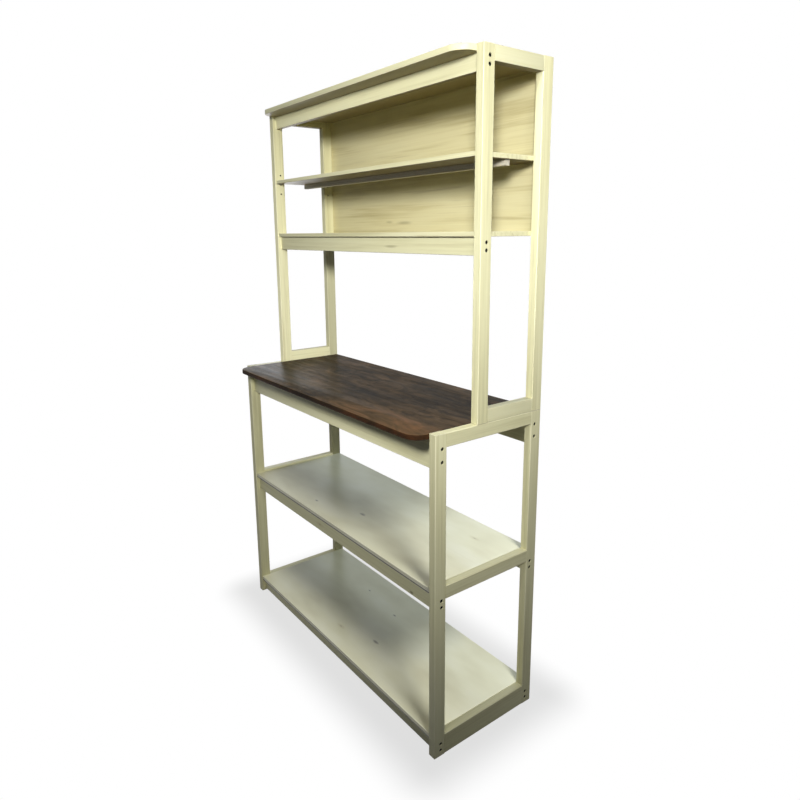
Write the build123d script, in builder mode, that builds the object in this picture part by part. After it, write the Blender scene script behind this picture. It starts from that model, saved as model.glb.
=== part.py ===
import os

from build123d import *

os.makedirs("parts", exist_ok=True)

# Overall sizes, in millimetres
bench_width = 1065
base_depth = 374
base_height = 900
hutch_depth = 237
hutch_height = 886

# Timber of the two side frames, and the softening of long edges
frame_thick = 24
post_depth = 36
rail_height = 36
foot_rail_height = 60
mid_rail_top = 495
edge_round = 2
arris = 1

# Worktop and top board, which overhang the front between the side frames
worktop_thick = 15
worktop_overhang = 45
worktop_corner = 45
top_thick = 15
top_overhang = 45
top_corner = 45
board_edge = 2

# Shelves and back panel
base_shelf_thick = 15
mid_shelf_drop = 8
hutch_shelf_thick = 12
hutch_shelf_rise = 473
shelf_setback = 4
panel_thick = 4
panel_inset = 6

# Cross rails, which run from side to side under the boards
rail_setback = 13
base_cross_thick = 18
apron_height = 80
mid_cross_height = 47
foot_cross_height = 37
hutch_cross_thick = 15
fascia_height = 40
hutch_cross_height = 45

# Adjustable shelf, its batten and its pins
pin_rise = 643
pin_pitch = 32
pin_rows = 3
pin_radius = 2.5
pin_setback = 21
pin_hole_depth = 11
peg_length = 10
spoon_length = 9
spoon_width = 9
spoon_thick = 3
shelf_play = 1
shelf_rear_gap = 3
batten_width = 15
batten_height = 15
batten_inset = 8

# Connecting screws with sunken heads
screw_length = 50
shank_radius = 3
head_radius = 5
head_height = 4
head_recess = 2
socket_width = 5
socket_depth = 2.5
screw_pitch = 19
apron_screw_pitch = 34

# Hidden wood joints and the clearance all round them
tenon_thick = 8
tenon_shoulder = 6
tenon_wall = 1
tongue_thick = 4
tongue_width = 20
tongue_length = 20
base_tongue_pitch = 180
hutch_tongue_pitch = 90
locator_width = 12
locator_length = 30
joint_gap = 0.2
screw_gap = 0.2

# Facets of the small round pieces and holes, which repeat many times
round_facets = 12
shank_facets = 8

# Planes that the pieces share
half_width = bench_width / 2
inner_x = half_width - frame_thick
frame_x = half_width - frame_thick / 2
total_height = base_height + hutch_height
rear_y = (base_depth + worktop_overhang - panel_thick) / 2
base_front_y = rear_y - base_depth
hutch_front_y = rear_y - hutch_depth
base_shelf_front_y = base_front_y + shelf_setback
base_shelf_back_y = rear_y - shelf_setback
hutch_shelf_front_y = hutch_front_y + shelf_setback
worktop_bottom = base_height - worktop_thick
top_bottom = total_height - top_thick
mid_shelf_top = mid_rail_top - mid_shelf_drop
mid_shelf_bottom = mid_shelf_top - base_shelf_thick
bottom_shelf_bottom = foot_rail_height - base_shelf_thick
hutch_shelf_bottom = base_height + hutch_shelf_rise - hutch_shelf_thick
pin_z = base_height + pin_rise
loose_shelf_bottom = pin_z + pin_radius
sides = {"left": -1, "right": 1}

# Posts: centre across the depth, lower end, upper end, and the way to the rails between them
posts = {
    "base_front": (base_front_y + post_depth / 2, 0, base_height, 1),
    "base_rear": (rear_y - post_depth / 2, 0, base_height, -1),
    "hutch_front": (hutch_front_y + post_depth / 2, base_height, total_height, 1),
    "hutch_rear": (rear_y - post_depth / 2, base_height, total_height, -1),
}

# Side rails: front and rear post, lower edge and height
side_rails = {
    "base_top_rail": ("base_front", "base_rear", base_height - rail_height, rail_height),
    "base_mid_rail": ("base_front", "base_rear", mid_rail_top - rail_height, rail_height),
    "base_foot_rail": ("base_front", "base_rear", 0, foot_rail_height),
    "hutch_top_rail": ("hutch_front", "hutch_rear", total_height - rail_height, rail_height),
    "hutch_bottom_rail": ("hutch_front", "hutch_rear", base_height, rail_height),
}

# Cross rails: the posts they meet, upper edge, height and pitch of the two screws at each end
cross_rails = {
    "front_apron": ("base_front", worktop_bottom, apron_height, apron_screw_pitch),
    "rear_apron": ("base_rear", worktop_bottom, apron_height, apron_screw_pitch),
    "mid_front_rail": ("base_front", mid_shelf_bottom, mid_cross_height, screw_pitch),
    "mid_rear_rail": ("base_rear", mid_shelf_bottom, mid_cross_height, screw_pitch),
    "bottom_front_rail": ("base_front", bottom_shelf_bottom, foot_cross_height, screw_pitch),
    "bottom_rear_rail": ("base_rear", bottom_shelf_bottom, foot_cross_height, screw_pitch),
    "top_fascia": ("hutch_front", top_bottom, fascia_height, screw_pitch),
    "hutch_shelf_rail": ("hutch_front", hutch_shelf_bottom, hutch_cross_height, screw_pitch),
}
cross_thick = {
    "base_front": base_cross_thick,
    "base_rear": base_cross_thick,
    "hutch_front": hutch_cross_thick,
}
cross_y = {
    "base_front": base_front_y + rail_setback + base_cross_thick / 2,
    "base_rear": rear_y - rail_setback - base_cross_thick / 2,
    "hutch_front": hutch_front_y + rail_setback + hutch_cross_thick / 2,
}

# Screw holes, and the tenons that stop short of them
head_hole_radius = head_radius + screw_gap
head_hole_depth = head_recess + head_height
shank_hole_radius = shank_radius + screw_gap
pilot_depth = head_recess + screw_length - frame_thick + screw_gap
tenon_length = post_depth - rail_setback - base_cross_thick / 2 - shank_hole_radius - tenon_wall

# Tongues: height of the joint and the places along the depth, for each board
base_middle_y = base_front_y + base_depth / 2
hutch_middle_y = hutch_front_y + hutch_depth / 2
base_tongue_ys = [base_middle_y - base_tongue_pitch / 2, base_middle_y + base_tongue_pitch / 2]
hutch_tongue_ys = [hutch_middle_y - hutch_tongue_pitch / 2, hutch_middle_y + hutch_tongue_pitch / 2]
post_tongue_ys = [posts["hutch_front"][0], posts["hutch_rear"][0]]
tongues = {
    "worktop": (worktop_bottom + worktop_thick / 2, base_tongue_ys),
    "mid_shelf": (mid_shelf_bottom + base_shelf_thick / 2, base_tongue_ys),
    "bottom_shelf": (bottom_shelf_bottom + base_shelf_thick / 2, base_tongue_ys),
    "top_board": (top_bottom + top_thick / 2, hutch_tongue_ys),
    "hutch_shelf": (hutch_shelf_bottom + hutch_shelf_thick / 2, post_tongue_ys),
}
tongues_in_rail = {
    "base_top_rail": "worktop",
    "base_mid_rail": "mid_shelf",
    "base_foot_rail": "bottom_shelf",
    "hutch_top_rail": "top_board",
}


def keep(builder, name):
    builder.part.label = name
    export_step(builder.part, f"parts/{name}.step")


def screw_seats(rail, side, x):
    # Planes across the two screws at one end of a cross rail, facing out
    post, upper, height, pitch = cross_rails[rail]
    middle = upper - height / 2
    return [
        Plane(origin=(side * x, cross_y[post], z), x_dir=(0, side, 0), z_dir=(side, 0, 0))
        for z in (middle - pitch / 2, middle + pitch / 2)
    ]


def post_screw_seats(post, side):
    seats = []
    for rail in cross_rails:
        if cross_rails[rail][0] == post:
            seats.extend(screw_seats(rail, side, half_width))
    return seats


def pin_seat(y, side):
    # Plane on the inner face of a hutch post, facing the shelf
    return Plane(origin=(side * inner_x, y, pin_z), x_dir=(0, -side, 0), z_dir=(-side, 0, 0))


def tongue_centres(board, side):
    z, ys = tongues[board]
    return [(side * inner_x, y, z) for y in ys]


def cut_tongue_slots(centres):
    with Locations(*centres):
        Box(
            tongue_length + 2 * joint_gap,
            tongue_width + 2 * joint_gap,
            tongue_thick + 2 * joint_gap,
            mode=Mode.SUBTRACT,
        )


def locator_centre(post, side):
    return (side * frame_x, posts[post][0], base_height)


def cut_locator_slot(post, side):
    with Locations(locator_centre(post, side)):
        Box(
            tenon_thick + 2 * joint_gap,
            locator_width + 2 * joint_gap,
            locator_length + 2 * joint_gap,
            mode=Mode.SUBTRACT,
        )


# Posts, with mortises for the side rails and holes for screws and pins
for side_name, side in sides.items():
    for post_name, (post_y, lower, upper, inward) in posts.items():
        joint_y = post_y + inward * post_depth / 2
        with BuildPart() as post:
            with BuildSketch(Plane.XY.offset(lower)):
                with Locations((side * frame_x, post_y)):
                    Rectangle(frame_thick, post_depth)
            extrude(amount=upper - lower)
            fillet(post.edges().filter_by(Axis.Z), edge_round)
            for front_post, rear_post, rail_bottom, height in side_rails.values():
                if post_name in (front_post, rear_post):
                    with Locations((side * frame_x, joint_y, rail_bottom + height / 2)):
                        Box(
                            tenon_thick + 2 * joint_gap,
                            2 * (tenon_length + joint_gap),
                            height - 2 * tenon_shoulder + 2 * joint_gap,
                            mode=Mode.SUBTRACT,
                        )
            if post_name in cross_y:
                with BuildSketch(*post_screw_seats(post_name, side)):
                    RegularPolygon(head_hole_radius, round_facets)
                extrude(amount=-head_hole_depth, mode=Mode.SUBTRACT)
                with BuildSketch(*post_screw_seats(post_name, side)):
                    RegularPolygon(shank_hole_radius, shank_facets)
                extrude(amount=-frame_thick, mode=Mode.SUBTRACT)
            if post_name in ("hutch_front", "hutch_rear"):
                pin_y = post_y - inward * (post_depth / 2 - pin_setback)
                with BuildSketch(pin_seat(pin_y, side)):
                    with GridLocations(0, pin_pitch, 1, pin_rows):
                        RegularPolygon(pin_radius + joint_gap / 2, round_facets, major_radius=False)
                extrude(amount=-pin_hole_depth, mode=Mode.SUBTRACT)
                cut_tongue_slots([(side * inner_x, post_y, tongues["hutch_shelf"][0])])
                cut_locator_slot(post_name, side)
            if post_name == "base_rear":
                cut_locator_slot("hutch_rear", side)
        keep(post, f"{post_name.replace('_', f'_{side_name}_')}_post")

# Side rails, with a stub tenon at each end
for side_name, side in sides.items():
    for rail_name, (front_post, rear_post, rail_bottom, height) in side_rails.items():
        rail_front = posts[front_post][0] + post_depth / 2
        rail_length = posts[rear_post][0] - post_depth / 2 - rail_front
        front_end = Plane.XZ.offset(-rail_front)
        tenon_end = Plane.XZ.offset(tenon_length - rail_front)
        with BuildPart() as side_rail:
            with BuildSketch(front_end):
                with Locations((side * frame_x, rail_bottom + height / 2)):
                    Rectangle(frame_thick, height)
            extrude(amount=-rail_length)
            fillet(side_rail.edges().filter_by(Axis.Y), edge_round)
            with BuildSketch(tenon_end):
                with Locations((side * frame_x, rail_bottom + height / 2)):
                    Rectangle(tenon_thick, height - 2 * tenon_shoulder)
            extrude(amount=-(rail_length + 2 * tenon_length))
            if rail_name in tongues_in_rail:
                cut_tongue_slots(tongue_centres(tongues_in_rail[rail_name], side))
            if rail_name == "base_top_rail":
                cut_locator_slot("hutch_front", side)
        keep(side_rail, rail_name.replace("_", f"_{side_name}_", 1))

# Cross rails, with pilot holes for the screws in their ends
for rail_name, (post_name, upper, height, pitch) in cross_rails.items():
    with BuildPart() as cross_rail:
        with BuildSketch(Plane.YZ):
            with Locations((cross_y[post_name], upper - height / 2)):
                Rectangle(cross_thick[post_name], height)
        extrude(amount=inner_x, both=True)
        chamfer(cross_rail.edges().filter_by(Axis.X), arris)
        for side in sides.values():
            with BuildSketch(*screw_seats(rail_name, side, inner_x)):
                RegularPolygon(shank_hole_radius, shank_facets)
            extrude(amount=-pilot_depth, mode=Mode.SUBTRACT)
    keep(cross_rail, rail_name)

# Worktop and top board, with round front corners and softened edges
for board_name, front_y, board_bottom, thick, corner in (
    ("worktop", base_front_y - worktop_overhang, worktop_bottom, worktop_thick, worktop_corner),
    ("top_board", hutch_front_y - top_overhang, top_bottom, top_thick, top_corner),
):
    with BuildPart() as board:
        with BuildSketch(Plane.XY.offset(board_bottom)) as outline:
            with Locations((0, (front_y + rear_y) / 2)):
                Rectangle(2 * inner_x, rear_y - front_y)
            fillet(outline.vertices().group_by(Axis.Y)[0], corner)
        extrude(amount=thick)
        front_edges = board.edges().filter_by(Axis.Z, reverse=True)
        chamfer(front_edges.filter_by_position(Axis.Y, front_y, front_y + corner), board_edge)
        for side in sides.values():
            cut_tongue_slots(tongue_centres(board_name, side))
    keep(board, board_name)

# Fixed shelves
for board_name, front_y, back_y, board_bottom, thick in (
    ("mid_shelf", base_shelf_front_y, base_shelf_back_y, mid_shelf_bottom, base_shelf_thick),
    ("bottom_shelf", base_shelf_front_y, base_shelf_back_y, bottom_shelf_bottom, base_shelf_thick),
    ("hutch_shelf", hutch_shelf_front_y, rear_y, hutch_shelf_bottom, hutch_shelf_thick),
):
    with BuildPart() as shelf:
        with BuildSketch(Plane.XY.offset(board_bottom)):
            with Locations((0, (front_y + back_y) / 2)):
                Rectangle(2 * inner_x, back_y - front_y)
        extrude(amount=thick)
        fillet(shelf.faces().sort_by(Axis.Y)[0].edges().filter_by(Axis.X), edge_round)
        for side in sides.values():
            cut_tongue_slots(tongue_centres(board_name, side))
    keep(shelf, board_name)

# Back panel, laid on the rear faces of the hutch posts, top board and fixed shelf
with BuildPart() as back_panel:
    with BuildSketch(Plane.XZ.offset(-rear_y)):
        with Locations((0, (hutch_shelf_bottom + total_height - panel_inset) / 2)):
            Rectangle(bench_width - 2 * panel_inset, total_height - panel_inset - hutch_shelf_bottom)
    extrude(amount=-panel_thick)
keep(back_panel, "back_panel")

# Adjustable shelf, free to lift between the side frames
with BuildPart() as adjustable_shelf:
    shelf_back_y = rear_y - shelf_rear_gap
    with BuildSketch(Plane.XY.offset(loose_shelf_bottom)):
        with Locations((0, (hutch_shelf_front_y + shelf_back_y) / 2)):
            Rectangle(2 * (inner_x - shelf_play), shelf_back_y - hutch_shelf_front_y)
    extrude(amount=hutch_shelf_thick)
    fillet(adjustable_shelf.faces().sort_by(Axis.Y)[0].edges().filter_by(Axis.X), edge_round)
keep(adjustable_shelf, "adjustable_shelf")

# Batten along the middle of the adjustable shelf
with BuildPart() as shelf_batten:
    with BuildSketch(Plane.XY.offset(loose_shelf_bottom)):
        with Locations((0, hutch_middle_y)):
            Rectangle(2 * (inner_x - shelf_play - batten_inset), batten_width)
    extrude(amount=-batten_height)
    chamfer(shelf_batten.faces().sort_by(Axis.Z)[0].edges().filter_by(Axis.X), arris)
keep(shelf_batten, "shelf_batten")

# One shelf pin: a round peg in the post and a flat spoon under the shelf
with BuildPart() as shelf_pin:
    with BuildSketch(Plane.XY):
        RegularPolygon(pin_radius, round_facets)
    extrude(amount=-peg_length)
    with BuildSketch(Plane.XY):
        with Locations((0, pin_radius - spoon_thick / 2)):
            Rectangle(spoon_width, spoon_thick)
    extrude(amount=spoon_length)

with BuildPart() as shelf_pins:
    for side in sides.values():
        for pin_y in (hutch_front_y + pin_setback, rear_y - pin_setback):
            with Locations(pin_seat(pin_y, side)):
                add(shelf_pin.part)
keep(shelf_pins, "shelf_pins")

# One connecting screw, measured from the outer face that its head is sunk into
with BuildPart() as screw:
    with BuildSketch(Plane.XY.offset(-head_recess)):
        RegularPolygon(head_radius, round_facets)
    extrude(amount=-head_height)
    with BuildSketch(Plane.XY.offset(-head_recess)):
        RegularPolygon(shank_radius, shank_facets)
    extrude(amount=-screw_length)
    with BuildSketch(Plane.XY.offset(-head_recess)):
        RegularPolygon(socket_width / 2, 6, major_radius=False)
    extrude(amount=-socket_depth, mode=Mode.SUBTRACT)

for group_name, group_posts in (
    ("base_screws", ("base_front", "base_rear")),
    ("hutch_screws", ("hutch_front",)),
):
    with BuildPart() as screws:
        for side in sides.values():
            for post_name in group_posts:
                with Locations(*post_screw_seats(post_name, side)):
                    add(screw.part)
    keep(screws, group_name)

# Loose tongues between the ends of the boards and the side frames
with BuildPart() as board_tongues:
    for side in sides.values():
        for board_name in tongues:
            with Locations(*tongue_centres(board_name, side)):
                Box(tongue_length, tongue_width, tongue_thick)
keep(board_tongues, "board_tongues")

# Loose tenons that locate the hutch on the base
with BuildPart() as hutch_locators:
    for side in sides.values():
        with Locations(locator_centre("hutch_front", side), locator_centre("hutch_rear", side)):
            Box(tenon_thick, locator_width, locator_length)
keep(hutch_locators, "hutch_locators")
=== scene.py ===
import math

import bmesh
import bpy
from mathutils import Matrix, Vector


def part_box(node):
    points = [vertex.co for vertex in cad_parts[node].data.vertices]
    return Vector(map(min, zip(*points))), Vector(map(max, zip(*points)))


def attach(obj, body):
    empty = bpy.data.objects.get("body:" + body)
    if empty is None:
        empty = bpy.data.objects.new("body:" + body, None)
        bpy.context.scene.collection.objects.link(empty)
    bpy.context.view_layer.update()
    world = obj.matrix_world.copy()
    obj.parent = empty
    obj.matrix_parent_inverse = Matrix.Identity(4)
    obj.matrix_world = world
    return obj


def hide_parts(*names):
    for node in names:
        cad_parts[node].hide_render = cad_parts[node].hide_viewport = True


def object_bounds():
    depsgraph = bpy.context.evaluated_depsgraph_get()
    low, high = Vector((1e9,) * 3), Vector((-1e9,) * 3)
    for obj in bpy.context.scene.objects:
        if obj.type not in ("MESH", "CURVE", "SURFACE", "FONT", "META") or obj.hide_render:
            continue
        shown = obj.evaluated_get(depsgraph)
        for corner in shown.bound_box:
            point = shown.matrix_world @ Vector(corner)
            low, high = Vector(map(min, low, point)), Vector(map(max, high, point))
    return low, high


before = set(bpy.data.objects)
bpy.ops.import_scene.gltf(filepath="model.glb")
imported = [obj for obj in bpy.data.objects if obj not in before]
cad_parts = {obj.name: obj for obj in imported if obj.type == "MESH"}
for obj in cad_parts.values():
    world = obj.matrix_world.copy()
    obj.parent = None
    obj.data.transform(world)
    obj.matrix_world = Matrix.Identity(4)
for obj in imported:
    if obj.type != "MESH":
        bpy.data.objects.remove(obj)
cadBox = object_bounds()

baseShelves = ("mid_shelf", "bottom_shelf")  # they have their own finish and their own lamps


# small helpers for shader nodes

def tint(red, green, blue):
    # a colour as picked on screen, 0 to 255, made linear for the shader by the sRGB curve
    linear = []
    for level in (red, green, blue):
        share = level / 255
        linear.append(share / 12.92 if share <= 0.04045 else ((share + 0.055) / 1.055) ** 2.4)
    return (*linear, 1)


def addNode(tree, kind, links=None, values=None, **options):
    node = tree.nodes.new(kind)
    for option, setting in options.items():
        setattr(node, option, setting)
    for socket, setting in (values or {}).items():
        node.inputs[socket].default_value = setting
    for socket, source in (links or {}).items():
        tree.links.new(source, node.inputs[socket])
    return node


def calc(tree, operation, first, second=0.0, third=0.0):
    # one maths node, fed by sockets or plain numbers
    node = tree.nodes.new("ShaderNodeMath")
    node.operation = operation
    for index, source in enumerate((first, second, third)):
        if isinstance(source, (int, float)):
            node.inputs[index].default_value = source
        else:
            tree.links.new(source, node.inputs[index])
    return node.outputs[0]


def distance(tree, run, rise):
    return calc(tree, "SQRT", calc(tree, "MULTIPLY_ADD", run, run, calc(tree, "MULTIPLY", rise, rise)))


def between(tree, value, fromLow, fromHigh, toLow=0.0, toHigh=1.0):
    # eases from one level to another as the value crosses its band
    node = addNode(
        tree, "ShaderNodeMapRange", {"Value": value},
        {"From Min": fromLow, "From Max": fromHigh, "To Min": toLow, "To Max": toHigh},
        interpolation_type="SMOOTHSTEP",
    )
    return node.outputs["Result"]


def mixColour(tree, factor, base, top):
    # a mix node's colour sockets are its inputs 6 and 7 and its output 2
    node = addNode(tree, "ShaderNodeMix", data_type="RGBA")
    for socket, source in ((0, factor), (6, base), (7, top)):
        if isinstance(source, (int, float, tuple)):
            node.inputs[socket].default_value = source
        else:
            tree.links.new(source, node.inputs[socket])
    return node.outputs[2]


def ramp(tree, value, stops, colours):
    node = addNode(tree, "ShaderNodeValToRGB", {"Fac": value})
    elements = node.color_ramp.elements
    elements[0].position, elements[0].color = stops[0], tint(*colours[0])
    elements[1].position, elements[1].color = stops[-1], tint(*colours[-1])
    for stop, colour in zip(stops[1:-1], colours[1:-1]):
        elements.new(stop).color = tint(*colour)
    return node.outputs["Color"]


def newMaterial(name):
    material = bpy.data.materials.new(name)
    material.use_nodes = True
    tree = material.node_tree
    return material, tree, tree.nodes["Principled BSDF"]


def linkSurface(tree, shader, colour, rough):
    tree.links.new(colour, shader.inputs["Base Color"])
    tree.links.new(rough, shader.inputs["Roughness"])


bumpStrength = 0.5


def linkBump(tree, shader, height, depth):
    bump = addNode(
        tree, "ShaderNodeBump", {"Height": height}, {"Strength": bumpStrength, "Distance": depth},
    )
    tree.links.new(bump.outputs[0], shader.inputs["Normal"])


grainStep = 1.37  # metres along the grain from one piece's pattern to the next


def woodSpace(tree, grain, seed):
    # metres along the grain, across it and through it, moved along so that no two pieces match
    place = addNode(tree, "ShaderNodeTexCoord").outputs["Object"]
    split = addNode(tree, "ShaderNodeSeparateXYZ", {0: place})
    order = {"x": (0, 1, 2), "y": (1, 0, 2), "z": (2, 0, 1)}[grain]
    along, across, through = (split.outputs[axis] for axis in order)
    along = calc(tree, "ADD", along, grainStep * seed)
    space = addNode(tree, "ShaderNodeCombineXYZ", {0: along, 1: across, 2: through}).outputs[0]
    return place, space


def flatSpace(tree, space):
    # the same laid flat: it runs on round the arris, so it suits every long face
    split = addNode(tree, "ShaderNodeSeparateXYZ", {0: space})
    faces = calc(tree, "ADD", split.outputs[1], split.outputs[2])
    return addNode(tree, "ShaderNodeCombineXYZ", {0: split.outputs[0], 1: faces}).outputs[0]


def stretched(tree, space, stretch, detail, roughness=0.55, distortion=0.0):
    scaled = addNode(tree, "ShaderNodeMapping", {0: space}, {"Scale": stretch}).outputs[0]
    noise = addNode(
        tree, "ShaderNodeTexNoise", {"Vector": scaled},
        {"Scale": 1.0, "Detail": detail, "Roughness": roughness, "Distortion": distortion},
    )
    return noise.outputs["Fac"]


def waveFigure(tree, space, stretch, distortion, detail, detailScale, detailRoughness):
    # the broad figure of a sawn board
    scaled = addNode(tree, "ShaderNodeMapping", {0: space}, {"Scale": stretch}).outputs[0]
    wave = addNode(
        tree, "ShaderNodeTexWave", {"Vector": scaled},
        {
            "Scale": 1.0, "Distortion": distortion, "Detail": detail,
            "Detail Scale": detailScale, "Detail Roughness": detailRoughness,
        },
        bands_direction="Y", wave_profile="SIN",
    )
    return wave.outputs["Fac"]


def edgeMask(tree, place, node, width):
    # 1 on the arrises of a squared piece, 0 from width inwards
    low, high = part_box(node)
    middle = (low + high) / 2
    half = (high - low) / 2
    split = addNode(tree, "ShaderNodeSeparateXYZ", {0: place})
    depths = []
    for axis in range(3):
        offset = calc(tree, "ABSOLUTE", calc(tree, "SUBTRACT", split.outputs[axis], middle[axis]))
        depths.append(calc(tree, "SUBTRACT", half[axis], offset))
    nearer = calc(tree, "MINIMUM", depths[0], depths[1])
    farther = calc(tree, "MAXIMUM", depths[0], depths[1])
    second = calc(tree, "MAXIMUM", nearer, calc(tree, "MINIMUM", farther, depths[2]))
    return between(tree, second, 0.0, width, 1.0, 0.0)


# cream whitewashed foil, on the frame, the boards and the panel

creamFoil = {
    "grainLine": (186, 180, 134),
    "body": (220, 216, 174),
    "wash": (230, 227, 190),
    "toneStops": (0.26, 0.50, 0.76),  # where these three stand on the tone
    "figure": {
        "stretch": (1.1, 16.0, 16.0), "distortion": 11.0, "detail": 3.0,
        "detailScale": 0.9, "detailRoughness": 0.55,
    },
    "streak": {"stretch": (2.6, 150.0, 150.0), "detail": 4.0, "roughness": 0.6},
    "fibre": {"stretch": (14.0, 1100.0, 1100.0), "detail": 2.0},
    "cloud": {"stretch": (1.3, 5.0, 5.0), "detail": 2.0},
    "figureShare": 0.08,  # shares of the tone, of which the cloud takes the rest
    "streakShare": 0.42,
    "fibreShare": 0.16,
    "thinLine": (172, 160, 116),
    "line": {"stretch": (1.9, 95.0, 95.0), "detail": 3.0, "roughness": 0.5, "distortion": 0.6},
    "lineBand": (0.60, 0.72),
    "lineCloud": (0.42, 0.62),  # thin lines show in the upper part of the cloud only
    "thinShare": 0.50,
    "knot": (104, 92, 62),
    "knotHalo": (190, 178, 132),
    "knotStretch": (2.1, 6.5, 0.0),
    "knotShare": 0.74,  # cells above this have a knot
    "knotRagged": 0.03,
    "knotBand": (0.016, 0.030),
    "knotStrength": 0.55,
    "haloBand": (0.02, 0.08),
    "haloStrength": 0.45,
    # paler arrises: partly rubbed foil, partly a painted highlight
    "wornEdgeAndHighlight": (241, 236, 208),
    "edgeWidth": 0.0024,
    "rubAndHighlightBand": (0.3, 0.6),
    "rubAndHighlightStrength": (0.25, 0.6),
    # painted shade on the undersides, and how far up it reaches
    "underShade": (112, 97, 56),
    "shadeHeight": 0.0008,  # height above the underside up to which the painted shade reaches
    "shadeFade": 0.7,
    # painted shade inside the pin holes
    "holeShade": (44, 36, 22),
    "roughness": (0.50, 0.36),  # at the lower and the upper end of its band of the cloud
    "roughBand": (0.3, 0.7),
    "gloss": 0.20,
    "fibreBump": 0.5,
    "bumpDepth": 0.00018,
}
# the base shelves are paler, smoother and shinier, and their painted shade reaches 5 mm up, as a painted
# shadow line along the foot of the front edge
shelfFoil = dict(
    creamFoil,
    grainLine=(208, 201, 164), body=(223, 218, 183), wash=(232, 228, 199),
    figureShare=0.0, streakShare=0.04, fibreShare=0.05, thinShare=0.05,
    cloud={"stretch": (5.0, 11.0, 11.0), "detail": 2.0},
    roughness=(0.36, 0.31), gloss=0.7, bumpDepth=0.00005, underShade=(34, 27, 13), shadeHeight=0.0050,
)
# the top board's painted under-shade is lighter
topFoil = dict(creamFoil, underShade=(154, 141, 97))
# the panel is browner, with a bolder figure
panelFoil = dict(
    creamFoil,
    grainLine=(180, 167, 117), body=(216, 207, 161), wash=(228, 222, 180), thinLine=(148, 132, 87),
    figureShare=0.14, streakShare=0.34, thinShare=0.38,
)
# knots that the photograph shows, on the plane of the board's two longer sides: place along and across,
# radius, how far drawn out along the board, and strength
seenKnots = {
    "mid_shelf": (
        (0.038, -0.051, 0.006, 2.2, 0.7),
        (-0.149, -0.112, 0.004, 2.2, 0.7),
    ),
    "bottom_shelf": (
        (0.099, -0.051, 0.006, 2.2, 0.7),
        (-0.167, 0.109, 0.003, 2.2, 0.7),
        (0.018, 0.087, 0.0035, 2.2, 0.7),
    ),
    "mid_front_rail": (
        (0.421, 0.432, 0.004, 2.2, 0.7),
    ),
    "back_panel": (
        (-0.066, 1.404, 0.005, 8.0, 0.4),
        (-0.150, 1.407, 0.004, 5.0, 0.3),
    ),
    "hutch_shelf_rail": (
        (0.160, 1.334, 0.004, 7.0, 0.4),
    ),
}
seenKnotEdge = {"ragged": 1.2, "core": 0.2, "rim": 1.4}  # in knot radii


def knotMask(tree, place, node, ragged):
    # each seen knot's strength in its middle, 0 outside, drawn out along the board
    low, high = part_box(node)
    up = 1 if high.z - low.z < high.y - low.y else 2
    split = addNode(tree, "ShaderNodeSeparateXYZ", {0: place})
    edge = seenKnotEdge
    wobble = calc(tree, "MULTIPLY_ADD", ragged, edge["ragged"], -edge["ragged"] / 2)
    mask = 0.0
    for along, across, radius, drawn, strength in seenKnots.get(node, ()):
        run = calc(tree, "MULTIPLY", calc(tree, "SUBTRACT", split.outputs[0], along), 1 / (radius * drawn))
        rise = calc(tree, "MULTIPLY", calc(tree, "SUBTRACT", split.outputs[up], across), 1 / radius)
        reach = calc(tree, "ADD", distance(tree, run, rise), wobble)
        mask = calc(tree, "MAXIMUM", mask, between(tree, reach, edge["core"], edge["rim"], strength, 0.0))
    return mask


def underShadeMask(tree, place, node, look):
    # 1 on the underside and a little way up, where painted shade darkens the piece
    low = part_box(node)[0]
    split = addNode(tree, "ShaderNodeSeparateXYZ", {0: place})
    rise = calc(tree, "SUBTRACT", split.outputs[2], low.z)
    return between(tree, rise, look["shadeHeight"] * look["shadeFade"], look["shadeHeight"], 1.0, 0.0)


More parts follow.
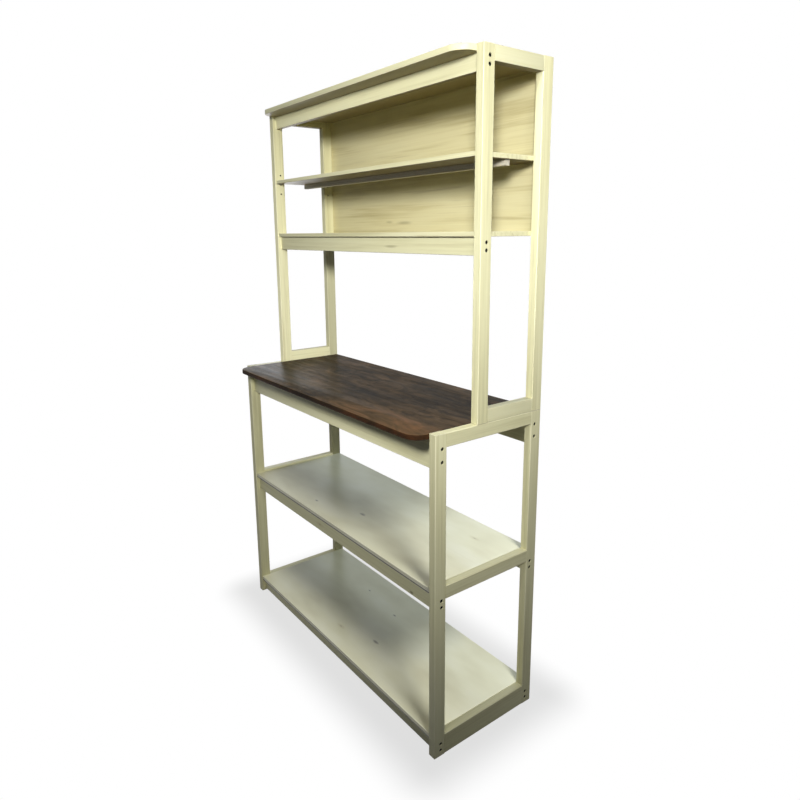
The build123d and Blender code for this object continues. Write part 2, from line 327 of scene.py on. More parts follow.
def paintCream(name, node, grain, seed, look):
    material, tree, shader = newMaterial(name)
    place, space = woodSpace(tree, grain, seed)
    figure = waveFigure(tree, space, **look["figure"])
    streak = stretched(tree, space, **look["streak"])
    fibre = stretched(tree, space, **look["fibre"])
    cloud = stretched(tree, space, **look["cloud"])
    line = stretched(tree, space, **look["line"])
    tone = calc(tree, "MULTIPLY", streak, look["streakShare"])
    tone = calc(tree, "MULTIPLY_ADD", figure, look["figureShare"], tone)
    tone = calc(tree, "MULTIPLY_ADD", fibre, look["fibreShare"], tone)
    cloudShare = 1 - look["figureShare"] - look["streakShare"] - look["fibreShare"]
    tone = calc(tree, "MULTIPLY_ADD", cloud, cloudShare, tone)
    colour = ramp(tree, tone, look["toneStops"], (look["grainLine"], look["body"], look["wash"]))
    thin = between(tree, line, *look["lineBand"], 0.0, look["thinShare"])
    thin = calc(tree, "MULTIPLY", thin, between(tree, cloud, *look["lineCloud"]))
    colour = mixColour(tree, thin, colour, tint(*look["thinLine"]))
    # small knots in some of the cells only, and those of the photograph
    knotSpace = addNode(
        tree, "ShaderNodeMapping", {0: flatSpace(tree, space)}, {"Scale": look["knotStretch"]},
    )
    cells = addNode(
        tree, "ShaderNodeTexVoronoi", {"Vector": knotSpace.outputs[0]}, {"Scale": 1.0},
        voronoi_dimensions="2D",
    ).outputs
    chosen = calc(tree, "GREATER_THAN", cells["Color"], look["knotShare"])
    ragged = calc(tree, "MULTIPLY_ADD", fibre, look["knotRagged"], cells["Distance"])
    halo = between(tree, ragged, *look["haloBand"], look["haloStrength"], 0.0)
    halo = calc(tree, "MULTIPLY", halo, chosen)
    knot = between(tree, ragged, *look["knotBand"], look["knotStrength"], 0.0)
    knot = calc(tree, "MULTIPLY", knot, chosen)
    knot = calc(tree, "MAXIMUM", knot, knotMask(tree, place, node, streak))
    colour = mixColour(tree, halo, colour, tint(*look["knotHalo"]))
    colour = mixColour(tree, knot, colour, tint(*look["knot"]))
    # the foil is paler on the arrises: partly real rubbing, partly a painted highlight along them
    rubbed = between(tree, streak, *look["rubAndHighlightBand"], *look["rubAndHighlightStrength"])
    rubbed = calc(tree, "MULTIPLY", rubbed, edgeMask(tree, place, node, look["edgeWidth"]))
    colour = mixColour(tree, rubbed, colour, tint(*look["wornEdgeAndHighlight"]))
    # painted shade: the underside and a sliver above it are darkened brown, standing in for the shade
    # under the piece
    colour = mixColour(tree, underShadeMask(tree, place, node, look), colour, tint(*look["underShade"]))
    # painted shade in the pin holes of the hutch posts
    if node.startswith("hutch") and "post" in node:
        colour = mixColour(tree, pinHoleShadeMask(tree, place, node), colour, tint(*look["holeShade"]))
    linkSurface(tree, shader, colour, between(tree, cloud, *look["roughBand"], *look["roughness"]))
    shader.inputs["Specular IOR Level"].default_value = look["gloss"]
    linkBump(tree, shader, calc(tree, "MULTIPLY_ADD", fibre, look["fibreBump"], streak), look["bumpDepth"])
    return material


# dark walnut, on the worktop: mottled, and warmer at the right front; darker round its edge

walnut = {
    "dark": (46, 38, 29),
    "body": (74, 60, 42),
    "light": (108, 87, 62),
    "glow": (144, 107, 75),
    "toneStops": (0.24, 0.44, 0.62, 0.84),  # where these four stand on the tone
    "seed": 2,
    "figure": {
        "stretch": (0.8, 9.0, 9.0), "distortion": 14.0, "detail": 4.0,
        "detailScale": 0.8, "detailRoughness": 0.6,
    },
    "streak": {"stretch": (1.9, 52.0, 52.0), "detail": 5.0, "roughness": 0.62, "distortion": 0.9},
    "fine": {"stretch": (5.0, 240.0, 240.0), "detail": 3.0, "roughness": 0.6, "distortion": 0.4},
    "patch": {"stretch": (9.0, 21.0, 21.0), "detail": 3.0, "distortion": 1.6},
    "cloud": {"stretch": (2.2, 7.0, 7.0), "detail": 3.0, "distortion": 0.5},
    "figureShare": 0.04,  # how much each adds to the tone
    "streakShare": 0.07,
    "fineShare": 0.08,
    "patchShare": 0.70,
    "cloudShare": 0.80,
    "toneShift": -0.40,
    "warmSpot": (0.40, -0.17),
    "warmReach": (0.55, 0.165),
    "warmGain": 0.26,
    "pore": (20, 14, 9),
    "poreNoise": {"stretch": (30.0, 1500.0, 1500.0), "detail": 2.0},
    "poreBand": (0.30, 0.42),
    "poreStrength": 0.6,
    "roughness": (0.50, 0.34),
    "roughBand": (0.25, 0.75),
    "gloss": 0.015,
    "streakBump": 0.5,
    "bumpDepth": 0.0003,
}
walnutEdge = dict(walnut, dark=(22, 16, 11), body=(40, 29, 20), light=(58, 41, 27), glow=(84, 52, 32))


def warmMask(tree, place, look):
    # the gain in the middle of the warm patch, 0 outside
    split = addNode(tree, "ShaderNodeSeparateXYZ", {0: place})
    reach = []
    for axis in range(2):
        offset = calc(tree, "SUBTRACT", split.outputs[axis], look["warmSpot"][axis])
        reach.append(calc(tree, "MULTIPLY", offset, 1 / look["warmReach"][axis]))
    return between(tree, distance(tree, *reach), 0.0, 1.0, look["warmGain"], 0.0)


def paintWalnut(name, look):
    material, tree, shader = newMaterial(name)
    place, space = woodSpace(tree, "x", look["seed"])
    figure = waveFigure(tree, space, **look["figure"])
    streak = stretched(tree, space, **look["streak"])
    fine = stretched(tree, space, **look["fine"])
    patch = stretched(tree, space, **look["patch"])
    cloud = stretched(tree, space, **look["cloud"])
    tone = calc(tree, "ADD", warmMask(tree, place, look), look["toneShift"])
    tone = calc(tree, "MULTIPLY_ADD", figure, look["figureShare"], tone)
    tone = calc(tree, "MULTIPLY_ADD", streak, look["streakShare"], tone)
    tone = calc(tree, "MULTIPLY_ADD", fine, look["fineShare"], tone)
    tone = calc(tree, "MULTIPLY_ADD", patch, look["patchShare"], tone)
    tone = calc(tree, "MULTIPLY_ADD", cloud, look["cloudShare"], tone)
    colour = ramp(tree, tone, look["toneStops"], (look["dark"], look["body"], look["light"], look["glow"]))
    pore = stretched(tree, space, **look["poreNoise"])
    pore = between(tree, pore, *look["poreBand"], look["poreStrength"], 0.0)
    colour = mixColour(tree, pore, colour, tint(*look["pore"]))
    linkSurface(tree, shader, colour, between(tree, streak, *look["roughBand"], *look["roughness"]))
    shader.inputs["Specular IOR Level"].default_value = look["gloss"]
    height = calc(tree, "SUBTRACT", calc(tree, "MULTIPLY", streak, look["streakBump"]), pore)
    linkBump(tree, shader, height, look["bumpDepth"])
    return material


# creamy white paint on the batten, brown hardboard behind the panel, bare wood of the hidden joints

whitePaint = {
    "thin": (170, 162, 142),
    "full": (206, 200, 181),
    "toneStops": (0.32, 0.62),
    "brush": {"stretch": (5.0, 260.0, 260.0), "detail": 4.0, "roughness": 0.62},
    "speck": {"stretch": (420.0, 420.0, 420.0), "detail": 2.0},
    "speckShare": 0.35,  # of the tone, of which the brush takes the rest
    "roughness": (0.55, 0.42),
    "roughBand": (0.3, 0.7),
    "bumpDepth": 0.0002,
}
hardboard = dict(
    whitePaint,
    thin=(96, 66, 40), full=(132, 95, 60), roughness=(0.75, 0.55), bumpDepth=0.0004,
    brush={"stretch": (60.0, 60.0, 60.0), "detail": 4.0, "roughness": 0.62},
)
bareWood = dict(
    whitePaint,
    thin=(168, 128, 84), full=(206, 170, 120), roughness=(0.70, 0.55),
    brush={"stretch": (90.0, 6.0, 90.0), "detail": 4.0, "roughness": 0.62},
)


def paintPlain(name, grain, seed, look):
    material, tree, shader = newMaterial(name)
    space = woodSpace(tree, grain, seed)[1]
    brush = stretched(tree, space, **look["brush"])
    speck = stretched(tree, space, **look["speck"])
    tone = calc(tree, "MULTIPLY", brush, 1 - look["speckShare"])
    tone = calc(tree, "MULTIPLY_ADD", speck, look["speckShare"], tone)
    colour = ramp(tree, tone, look["toneStops"], (look["thin"], look["full"]))
    linkSurface(tree, shader, colour, between(tree, tone, *look["roughBand"], *look["roughness"]))
    linkBump(tree, shader, tone, look["bumpDepth"])
    return material


# blackened steel of the screws, bright steel of the pins and brads

blackSteel = {
    "deep": (13, 13, 13),
    "rubbed": (52, 50, 47),
    "toneStops": (0.42, 0.75),
    "spots": {"stretch": (380.0, 380.0, 380.0), "detail": 4.0, "roughness": 0.65},
    "roughness": (0.50, 0.32),
    "roughBand": (0.3, 0.7),
    "metal": 0.75,
}
brightSteel = dict(
    blackSteel,
    deep=(150, 148, 142), rubbed=(202, 200, 194), roughness=(0.42, 0.25), metal=1.0,
)


def paintSteel(name, look):
    material, tree, shader = newMaterial(name)
    place = addNode(tree, "ShaderNodeTexCoord").outputs["Object"]
    spots = stretched(tree, place, **look["spots"])
    colour = ramp(tree, spots, look["toneStops"], (look["deep"], look["rubbed"]))
    linkSurface(tree, shader, colour, between(tree, spots, *look["roughBand"], *look["roughness"]))
    shader.inputs["Metallic"].default_value = look["metal"]
    return material


# helpers for modelling by hand

near = 0.0002  # two points closer than this count as level
squareOn = 0.9  # a face whose normal has this much of an axis looks along it


def startPiece(name):
    if bpy.context.object and bpy.context.object.mode != "OBJECT":
        bpy.ops.object.mode_set(mode="OBJECT")
    bpy.ops.object.select_all(action="DESELECT")
    print("modelling", name)


def addBlock(name, low, high):
    startPiece(name)
    bpy.ops.mesh.primitive_cube_add(size=1, location=(low + high) / 2)
    block = bpy.context.object
    block.name = block.data.name = name
    block.dimensions = high - low
    bpy.ops.object.transform_apply(location=True, rotation=True, scale=True)
    return block


def addRod(name, sides, radius, bottom, top):
    # along Z, from bottom to top
    startPiece(name)
    bpy.ops.mesh.primitive_cylinder_add(
        vertices=sides, radius=radius, depth=top - bottom, location=(0, 0, (bottom + top) / 2),
    )
    bpy.ops.object.transform_apply(location=True, rotation=True, scale=True)
    return bpy.context.object


def pickEdges(mesh, wanted):
    # in edit mode, selects the edges whose two ends pass the test
    bpy.ops.mesh.select_all(action="DESELECT")
    bpy.ops.mesh.select_mode(type="EDGE")
    shape = bmesh.from_edit_mesh(mesh)
    for edge in shape.edges:
        edge.select_set(wanted(edge.verts[0].co, edge.verts[1].co))
    shape.select_flush_mode()
    bmesh.update_edit_mesh(mesh)


def pickFaces(mesh, wanted):
    # in edit mode, selects the faces whose normals pass the test
    bpy.ops.mesh.select_all(action="DESELECT")
    bpy.ops.mesh.select_mode(type="FACE")
    shape = bmesh.from_edit_mesh(mesh)
    for face in shape.faces:
        face.select_set(wanted(face.normal))
    bmesh.update_edit_mesh(mesh)


def cutAway(piece, cutter):
    boolean = piece.modifiers.new("cut", "BOOLEAN")
    boolean.operation = "DIFFERENCE"
    boolean.solver = "EXACT"
    boolean.object = cutter
    bpy.context.view_layer.objects.active = piece
    bpy.ops.object.modifier_apply(modifier=boolean.name)
    bpy.data.objects.remove(cutter)


def smoothPiece(piece, angle):
    bpy.ops.object.select_all(action="DESELECT")
    piece.select_set(True)
    bpy.context.view_layer.objects.active = piece
    bpy.ops.object.shade_smooth_by_angle(angle=math.radians(angle))


def joinPieces(pieces):
    # into the first of them
    bpy.ops.object.select_all(action="DESELECT")
    for piece in pieces:
        piece.select_set(True)
    bpy.context.view_layer.objects.active = pieces[0]
    bpy.ops.object.join()
    return bpy.context.object


def joinCopies(name, model, places):
    # copies of one modelled piece, each with its own mesh, joined where they belong
    copies = []
    for place in places:
        copy = model.copy()
        copy.data = model.data.copy()
        copy.data.transform(place)
        bpy.context.collection.objects.link(copy)
        copies.append(copy)
    bpy.data.objects.remove(model)
    joined = joinPieces(copies)
    joined.name = joined.data.name = name
    return joined


def setMaterial(piece, material):
    piece.data.materials.clear()
    piece.data.materials.append(material)


# worktop and top board, with round front corners and a softened front edge

worktop = {
    "node": "worktop",
    "slot": "walnut_board",
    "corner": 0.045,
    "cornerSteps": 14,
    "edge": 0.0024,
    "edgeSteps": 3,
    "smooth": 35,
}
topBoard = dict(worktop, node="top_board", slot="cream_board", edge=0.0020)
topBoardSeed = 11
edgeLean = 0.5  # a face that looks up less than this belongs to the edge or the underside


def makeBoard(name, look):
    low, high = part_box(look["node"])
    board = addBlock(name, low, high)
    bpy.ops.object.mode_set(mode="EDIT")
    pickEdges(board.data, lambda a, b: max(a.y, b.y) < low.y + near and abs(a.z - b.z) > near)
    bpy.ops.mesh.bevel(offset=look["corner"], segments=look["cornerSteps"], affect="EDGES")
    rounded = low.y + look["corner"] + near
    pickEdges(board.data, lambda a, b: max(a.y, b.y) < rounded and abs(a.z - b.z) < near)
    bpy.ops.mesh.bevel(offset=look["edge"], segments=look["edgeSteps"], affect="EDGES")
    bpy.ops.object.mode_set(mode="OBJECT")
    smoothPiece(board, look["smooth"])
    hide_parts(look["node"])
    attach(board, "bench")
    return board


worktopPiece = makeBoard("worktopBoard", worktop)
setMaterial(worktopPiece, paintWalnut("darkWalnut", walnut))
worktopPiece.data.materials.append(paintWalnut("walnutEdge", walnutEdge))
for face in worktopPiece.data.polygons:
    face.material_index = 1 if face.normal.z < edgeLean else 0
topPiece = makeBoard("topBoard", topBoard)
setMaterial(topPiece, paintCream("topBoardFoil", "top_board", "x", topBoardSeed, topFoil))


# back panel, foil in front and brown behind, with brads in small dimples

backPanel = {
    "foilSeed": 5,
    "backSeed": 6,
    "backDepth": 0.001,  # faces this close to the back are brown
    "bradsUp": 6,
    "bradsAlong": 8,
    "postInset": 0.009,
    "shelfInset": 0.0055,
    "bradSides": 16,
    "headRadius": 0.0023,
    "headRise": 0.0006,
    "dome": ((0.0007, 0.00015), (0.0008, 0.00005)),  # how far in and how far up, step by step
    "dimpleRadius": 0.0027,
    "dimpleDepth": 0.0008,
    "smooth": 50,
}


def bradPlaces(look):
    # round the panel's back, pointing backwards
    low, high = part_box("back_panel")
    towardsBack = Matrix.Rotation(math.radians(-90), 4, "X")
    spots = []
    for step in range(look["bradsUp"]):
        height = low.z + (high.z - low.z) * (step + 0.5) / look["bradsUp"]
        spots.append((low.x + look["postInset"], height))
        spots.append((high.x - look["postInset"], height))
    for step in range(look["bradsAlong"]):
        across = low.x + (high.x - low.x) * (step + 0.5) / look["bradsAlong"]
        spots.append((across, low.z + look["shelfInset"]))
        spots.append((across, high.z - look["shelfInset"]))
    return [Matrix.Translation((x, high.y, z)) @ towardsBack for x, z in spots]


def makePanel(look):
    low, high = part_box("back_panel")
    panel = addBlock("backPanel", low, high)
    deep = look["dimpleDepth"]
    dimple = addRod("panel dimples", look["bradSides"], look["dimpleRadius"], -deep, deep)
    cutAway(panel, joinCopies("dimples", dimple, bradPlaces(look)))
    setMaterial(panel, paintCream("panelFoil", "back_panel", "x", look["foilSeed"], panelFoil))
    panel.data.materials.append(paintPlain("panelBack", "x", look["backSeed"], hardboard))
    for face in panel.data.polygons:
        face.material_index = 1 if face.center.y > high.y - look["backDepth"] else 0
    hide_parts("back_panel")
    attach(panel, "bench")


def makeBrads(look):
    deep = look["dimpleDepth"]
    brad = addRod("panel brads", look["bradSides"], look["headRadius"], -deep, look["headRise"] - deep)
    bpy.ops.object.mode_set(mode="EDIT")
    pickFaces(brad.data, lambda normal: normal.z > squareOn)
    for inwards, upwards in look["dome"]:
        bpy.ops.mesh.inset(thickness=inwards, depth=upwards)
    bpy.ops.object.mode_set(mode="OBJECT")
    brads = joinCopies("panelBrads", brad, bradPlaces(look))
    smoothPiece(brads, look["smooth"])
    setMaterial(brads, paintSteel("bradSteel", brightSteel))
    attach(brads, "bench")


makePanel(backPanel)
makeBrads(backPanel)


# connecting screws: a round head with a hexagon socket, sunk in the posts

screw = {
    "sides": 32,
    "headRadius": 0.0050,
    "headHeight": 0.0040,
    "shankRadius": 0.0030,
    "length": 0.050,
    "pointInset": 0.0012,
    "pointLength": 0.0015,
    "recess": 0.0020,
    "socketSides": 6,
    "socketWidth": 0.0050,
    "socketDepth": 0.0026,
    "rim": 0.0006,
    "rimSteps": 3,
    "smooth": 40,
    "pitch": 0.019,
    "apronPitch": 0.034,
}
baseRails = (
    "front_apron", "rear_apron", "mid_front_rail", "mid_rear_rail",
    "bottom_front_rail", "bottom_rear_rail",
)
hutchRails = ("top_fascia", "hutch_shelf_rail")


def makeScrew(look):
    # its head's top is at the origin, and it points down
    shank = look["shankRadius"]
    head = addRod("screw", look["sides"], look["headRadius"], -look["headHeight"], 0)
    bpy.ops.object.mode_set(mode="EDIT")
    pickFaces(head.data, lambda normal: normal.z < -squareOn)
    bpy.ops.mesh.inset(thickness=look["headRadius"] - shank, depth=0)
    bpy.ops.mesh.extrude_region_move(
        TRANSFORM_OT_translate={"value": (0, 0, look["headHeight"] - look["length"])},
    )
    bpy.ops.mesh.inset(thickness=look["pointInset"], depth=look["pointLength"])
    pickEdges(head.data, lambda a, b: min(a.z, b.z) > -near and min(a.xy.length, b.xy.length) > shank)
    bpy.ops.mesh.bevel(offset=look["rim"], segments=look["rimSteps"], affect="EDGES")
    bpy.ops.object.mode_set(mode="OBJECT")
    deep = look["socketDepth"]
    socket = addRod("screw socket", look["socketSides"], look["socketWidth"] / math.sqrt(3), -deep, deep)
    cutAway(head, socket)
    smoothPiece(head, look["smooth"])
    return head


def screwPlaces(rails, look):
    places = []
    outer = cadBox[1].x - look["recess"]
    for rail in rails:
        low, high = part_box(rail)
        middle = (low + high) / 2
        pitch = look["apronPitch"] if "apron" in rail else look["pitch"]
        for side in (-1, 1):
            outwards = Matrix.Rotation(math.radians(90 * side), 4, "Y")
            for step in (-0.5, 0.5):
                spot = Vector((side * outer, middle.y, middle.z + step * pitch))
                places.append(Matrix.Translation(spot) @ outwards)
    return places


def makeScrews(name, node, rails, material):
    screws = joinCopies(name, makeScrew(screw), screwPlaces(rails, screw))
    setMaterial(screws, material)
    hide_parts(node)
    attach(screws, "bench")


blackScrew = paintSteel("blackScrew", blackSteel)
makeScrews("baseScrews", "base_screws", baseRails, blackScrew)
makeScrews("hutchScrews", "hutch_screws", hutchRails, blackScrew)


# shelf pins: a round peg with a flat spoon under the shelf, and free holes above and below

shelfPin = {
    "pegSides": 24,
    "pegRadius": 0.0025,
    "pegLength": 0.010,
    "spoonLength": 0.009,
    "spoonWidth": 0.009,
    "spoonThick": 0.003,
    "corner": 0.003,
    "cornerSteps": 6,
    "arris": 0.0004,
    "arrisSteps": 2,
    "smooth": 40,
    "holeRadius": 0.0027,
    "holeRim": 0.0002,
    "holePitch": 0.032,
    "holeShadeReach": 0.002,  # the holes' painted shade stops this far beyond the pegs' ends
}


def makePin(look):
    # pointing out of the post along +Z, with the shelf side at +Y
    peg = addRod("shelf pin", look["pegSides"], look["pegRadius"], -look["pegLength"], 0)
    bpy.ops.object.mode_set(mode="EDIT")
    pickFaces(peg.data, lambda normal: normal.z < -squareOn)
    bpy.ops.mesh.bevel(offset=look["arris"], segments=look["arrisSteps"], affect="EDGES")
    bpy.ops.object.mode_set(mode="OBJECT")
    half = look["spoonWidth"] / 2
    spoon = addBlock(
        "spoon",
        Vector((-half, look["pegRadius"] - look["spoonThick"], 0)),
        Vector((half, look["pegRadius"], look["spoonLength"])),
    )
    tip = look["spoonLength"] - near
    bpy.ops.object.mode_set(mode="EDIT")
    pickEdges(spoon.data, lambda a, b: min(a.z, b.z) > tip and abs(a.y - b.y) > near)
    bpy.ops.mesh.bevel(offset=look["corner"], segments=look["cornerSteps"], affect="EDGES")
    pickFaces(spoon.data, lambda normal: abs(normal.y) > squareOn)
    bpy.ops.mesh.bevel(offset=look["arris"], segments=look["arrisSteps"], affect="EDGES")
    bpy.ops.object.mode_set(mode="OBJECT")
    pin = joinPieces([peg, spoon])
    smoothPiece(pin, look["smooth"])
    return pin


def pinPlaces(look):
    low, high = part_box("shelf_pins")
    half = look["spoonWidth"] / 2
    seat = high.x - look["pegLength"]
    places = []
    for side in (-1, 1):
        # peg axis along X into the post, shelf side up
        turn = Matrix(((0, 0, -side, 0), (-side, 0, 0, 0), (0, 1, 0, 0), (0, 0, 0, 1)))
        for depth in (low.y + half, high.y - half):
            spot = Vector((side * seat, depth, high.z - look["pegRadius"]))
            places.append(Matrix.Translation(spot) @ turn)
    return places


def pinHoleShadeMask(tree, place, node):
    # 1 in the pin holes of a hutch post, which go in from its inner face; their walls get painted shade
    look = shelfPin
    low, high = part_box("shelf_pins")
    half = look["spoonWidth"] / 2
    depth = low.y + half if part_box(node)[0].y < low.y else high.y - half
    split = addNode(tree, "ShaderNodeSeparateXYZ", {0: place})
    run = calc(tree, "SUBTRACT", split.outputs[1], depth)
    mask = 0.0
    for step in (-1, 0, 1):
        middle = high.z - look["pegRadius"] + step * look["holePitch"]
        reach = distance(tree, run, calc(tree, "SUBTRACT", split.outputs[2], middle))
        holeShade = between(tree, reach, look["holeRadius"], look["holeRadius"] + look["holeRim"], 1.0, 0.0)
        mask = calc(tree, "MAXIMUM", mask, holeShade)
    outer = calc(tree, "ABSOLUTE", split.outputs[0])
    return calc(tree, "MULTIPLY", mask, calc(tree, "LESS_THAN", outer, high.x + look["holeShadeReach"]))


pins = joinCopies("shelfPins", makePin(shelfPin), pinPlaces(shelfPin))
setMaterial(pins, paintSteel("pinSteel", brightSteel))
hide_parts("shelf_pins")
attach(pins, "bench")


# finishes of the pieces that keep their construction shape

for seed, (name, node) in enumerate(sorted(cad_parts.items())):
    if node.hide_render:
        continue
    if name in ("board_tongues", "hutch_locators"):
        setMaterial(node, paintPlain(name + "Wood", "y", seed, bareWood))
    elif name == "shelf_batten":
        setMaterial(node, paintPlain("battenWhite", "x", seed, whitePaint))
    else:
        low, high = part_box(name)
        size = high - low
        grain = "xyz"[max(range(3), key=lambda axis: size[axis])]
        look = shelfFoil if name in baseShelves else creamFoil
        setMaterial(node, paintCream(name + "Foil", name, grain, seed, look))
print("finishes:", len(bpy.data.materials))


# pale floor: plain under the bench, where it keeps the shadow, and white to the camera further out

studio = {
    "floorSize": 30.0,
    "floorTone": (186, 185, 182),
    "floorRoughness": 0.9,
    "gritTone": (170, 169, 166),
    "gritShare": 0.06,
    "grit": {"stretch": (40.0, 40.0, 40.0), "detail": 3.0},
    "footMiddle": (0.0, 0.03),  # the bench's footprint
    "footHalf": (0.54, 0.22),
    "floorFade": 0.16,
    "floorWhite": 0.72,
    "white": (1, 1, 1, 1),
    "skyLight": 0.05,
    "skyTone": (0.90, 0.95, 1.0, 1),
}


def seenDirectly(tree):
    # 1 for the rays that show the background as white
    path = addNode(tree, "ShaderNodeLightPath").outputs
    seen = calc(tree, "MAXIMUM", path["Is Camera Ray"], path["Is Glossy Ray"])
    return calc(tree, "MAXIMUM", seen, path["Is Transmission Ray"])


def makeFloor(look):
    startPiece("floor")
    bpy.ops.mesh.primitive_plane_add(size=look["floorSize"])
    floor = bpy.context.object
    floor.name = "floor"
    material, tree, shader = newMaterial("paleFloor")
    place = addNode(tree, "ShaderNodeTexCoord").outputs["Object"]
    # metres outside the bench's footprint
    split = addNode(tree, "ShaderNodeSeparateXYZ", {0: place})
    outside = []
    for axis in range(2):
        offset = calc(tree, "SUBTRACT", split.outputs[axis], look["footMiddle"][axis])
        offset = calc(tree, "SUBTRACT", calc(tree, "ABSOLUTE", offset), look["footHalf"][axis])
        outside.append(calc(tree, "MAXIMUM", offset, 0.0))
    white = between(tree, distance(tree, *outside), 0.0, look["floorFade"], look["floorWhite"], 1.0)
    grit = calc(tree, "MULTIPLY", stretched(tree, place, **look["grit"]), look["gritShare"])
    tone = mixColour(tree, grit, tint(*look["floorTone"]), tint(*look["gritTone"]))
    tree.links.new(tone, shader.inputs["Base Color"])
    shader.inputs["Roughness"].default_value = look["floorRoughness"]
    shader.inputs["Specular IOR Level"].default_value = 0.0
    glow = addNode(tree, "ShaderNodeEmission", values={"Color": look["white"], "Strength": 1.0})
    blend = addNode(
        tree, "ShaderNodeMixShader",
        {0: calc(tree, "MULTIPLY", white, seenDirectly(tree)), 1: shader.outputs[0], 2: glow.outputs[0]},
    )
    tree.links.new(blend.outputs[0], tree.nodes["Material Output"].inputs["Surface"])
    setMaterial(floor, material)


def makeSky(look):
    # white to the camera, near white in reflections, nearly dark to the rest
    world = bpy.data.worlds.new("studioWhite")
    bpy.context.scene.world = world
    world.use_nodes = True
    tree = world.node_tree
    background = tree.nodes["Background"]
    strength = calc(tree, "MAXIMUM", seenDirectly(tree), look["skyLight"])
    tree.links.new(strength, background.inputs["Strength"])
    onCamera = addNode(tree, "ShaderNodeLightPath").outputs["Is Camera Ray"]
    tree.links.new(mixColour(tree, onCamera, look["skyTone"], look["white"]), background.inputs["Color"])


makeFloor(studio)
makeSky(studio)


# soft lamps; the photograph's pieces are lit unevenly, so some lamps light a few pieces alone and some
# spare a few

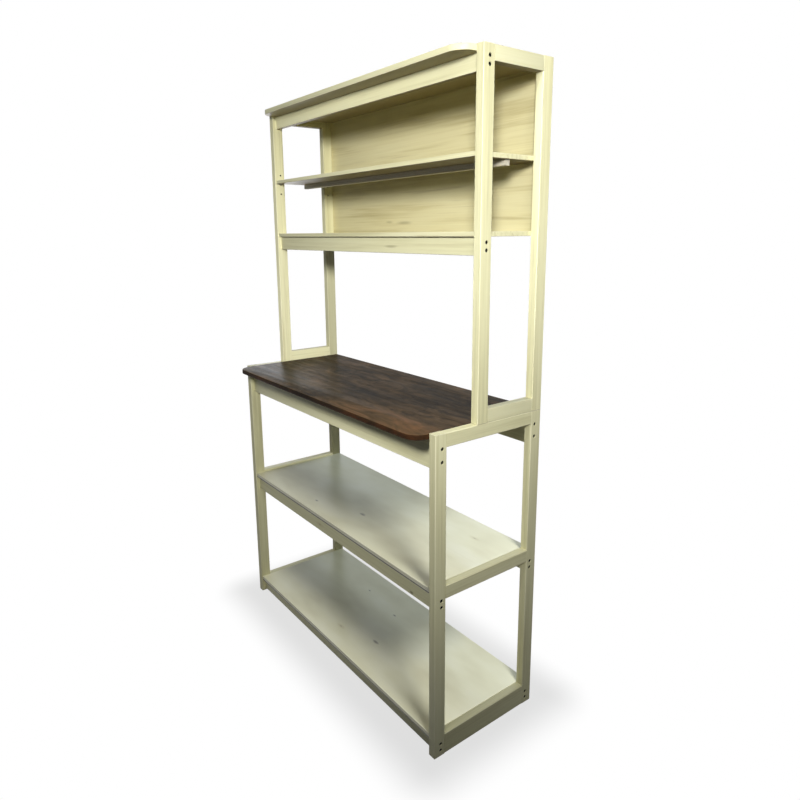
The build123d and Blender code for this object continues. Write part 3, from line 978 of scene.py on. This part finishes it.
rightFrame = (
    "base_right_front_post", "base_right_rear_post", "hutch_right_rear_post",
    "base_right_top_rail", "base_right_mid_rail", "base_right_foot_rail",
)
hutchFrame = (
    "hutch_left_front_post", "hutch_right_front_post", "hutch_right_rear_post",
    "hutch_left_bottom_rail", "hutch_right_bottom_rail",
)
lamps = {
    "keyLamp": {  # the main lamp, high behind the camera
        "place": (2.0, -1.54, 1.96), "aim": (0.15, 0.0, 1.44),
        "size": 0.45, "watts": 10.1, "spread": 62,
        "spares": ("base_left_rear_post", "front_apron", "rear_apron", *baseShelves),
    },
    "apronLamp": {  # on the apron below the worktop's edge
        "place": (0.62, -1.60, 2.17), "aim": (0.27, -0.15, 0.83),
        "size": 0.55, "watts": 5.1, "spread": 64, "lights": ("front_apron",),
    },
    "hutchLamp": {  # on the lower part of the hutch's frame
        "place": (1.6, -1.9, 1.25), "aim": (-0.34, 0.0, 0.84),
        "size": 0.50, "watts": 2.0, "spread": 42, "lights": hutchFrame,
    },
    "fasciaLamp": {  # from below, under the top board's overhang
        "place": (0.30, -1.6, 0.90), "aim": (-0.16, -0.03, 1.76),
        "size": 0.50, "watts": 0.75, "spread": 50, "lights": ("top_fascia",),
    },
    "topLamp": {  # on the hutch's upper right
        "place": (1.82, -0.66, 2.5), "aim": (0.30, 0.0, 1.70),
        "size": 0.40, "watts": 1.7, "spread": 80,
    },
    "shelfLamp": {  # the base shelves' bright right ends
        "place": (1.82, -0.40, 2.0), "aim": (0.30, 0.0, 0.30),
        "size": 0.60, "watts": 46.0, "spread": 180, "tone": (0.91, 0.94, 1.0), "lights": baseShelves,
    },
    "stripLamp": {  # the lit strip along their fronts
        "place": (0.10, -0.75, 2.6), "aim": (-0.05, -0.14, 0.30),
        "size": 0.90, "watts": 11.5, "spread": 180, "tone": (1.0, 1.0, 0.96), "lights": baseShelves,
    },
    "sheenLamp": {  # the bluish sheen on their rear halves
        "place": (-0.10, 0.95, 2.0), "aim": (0.0, 0.10, 0.30),
        "size": 0.70, "watts": 10.5, "spread": 180, "tone": (0.78, 0.89, 1.0), "lights": baseShelves,
    },
    "railLamp": {  # on the right side frame, from above
        "place": (0.88, -0.50, 2.6), "aim": (0.52, -0.05, 0.60),
        "size": 0.50, "watts": 17.5, "spread": 180, "lights": rightFrame,
    },
    "backLamp": {  # a cool one behind
        "place": (-0.60, 2.10, 1.05), "aim": (0.0, 0.10, 0.40),
        "size": 1.0, "watts": 8.0, "spread": 180, "tone": (0.80, 0.90, 1.0),
    },
    "rearFill": {  # for the views from behind
        "place": (-0.70, 2.60, 0.35), "aim": (0.0, 0.20, 0.90),
        "size": 1.2, "watts": 26.0, "spread": 180, "spares": baseShelves,
    },
    "leftFill": {  # for the views from the left
        "place": (-2.40, 0.45, 1.20), "aim": (-0.50, 0.0, 0.95),
        "size": 1.2, "watts": 9.0, "spread": 180, "spares": baseShelves,
    },
}


def linkPieces(lamp, names, state):
    group = bpy.data.collections.new(lamp.name + "Pieces")
    for name in names:
        group.objects.link(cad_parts[name])
    for entry in group.collection_objects:
        entry.light_linking.link_state = state
    lamp.light_linking.receiver_collection = group


def makeLamp(name, look):
    light = bpy.data.lights.new(name, "AREA")
    light.shape = "DISK"
    light.size = look["size"]
    light.energy = look["watts"]
    light.spread = math.radians(look["spread"])
    light.color = look.get("tone", (1.0, 1.0, 1.0))
    lamp = bpy.data.objects.new(name, light)
    bpy.context.scene.collection.objects.link(lamp)
    lamp.location = look["place"]
    towards = Vector(look["aim"]) - Vector(look["place"])
    lamp.rotation_euler = towards.to_track_quat("-Z", "Y").to_euler()
    if "lights" in look:
        linkPieces(lamp, look["lights"], "INCLUDE")
    if "spares" in look:
        linkPieces(lamp, look["spares"], "EXCLUDE")


for name, look in lamps.items():
    makeLamp(name, look)


# camera at the photograph's place, solved from the bench's own edges

camera = {
    "place": (1.6363, -1.1091, 1.3733),
    "yaw": 53.06,
    "pitch": 11.859,
    "roll": -0.5455,
    "lens": 28.77,
    "sensor": 36,
    "shift": (0.0039, -0.0418),
    "nearest": 0.01,
}


def makeCamera(look):
    data = bpy.data.cameras.new("photoCamera")
    data.sensor_fit = "HORIZONTAL"
    data.sensor_width = look["sensor"]
    data.lens = look["lens"]
    data.shift_x, data.shift_y = look["shift"]
    data.clip_start = look["nearest"]
    eye = bpy.data.objects.new("photoCamera", data)
    bpy.context.scene.collection.objects.link(eye)
    level = Matrix.Rotation(math.radians(look["yaw"]), 4, "Z")
    tilt = Matrix.Rotation(math.radians(90 - look["pitch"]), 4, "X")
    lean = Matrix.Rotation(math.radians(look["roll"]), 4, "Z")
    eye.matrix_world = Matrix.Translation(look["place"]) @ level @ tilt @ lean
    bpy.context.scene.camera = eye


makeCamera(camera)
bpy.context.scene.view_settings.view_transform = "Standard"
print("stage: floor, sky,", len(lamps), "lamps, camera")
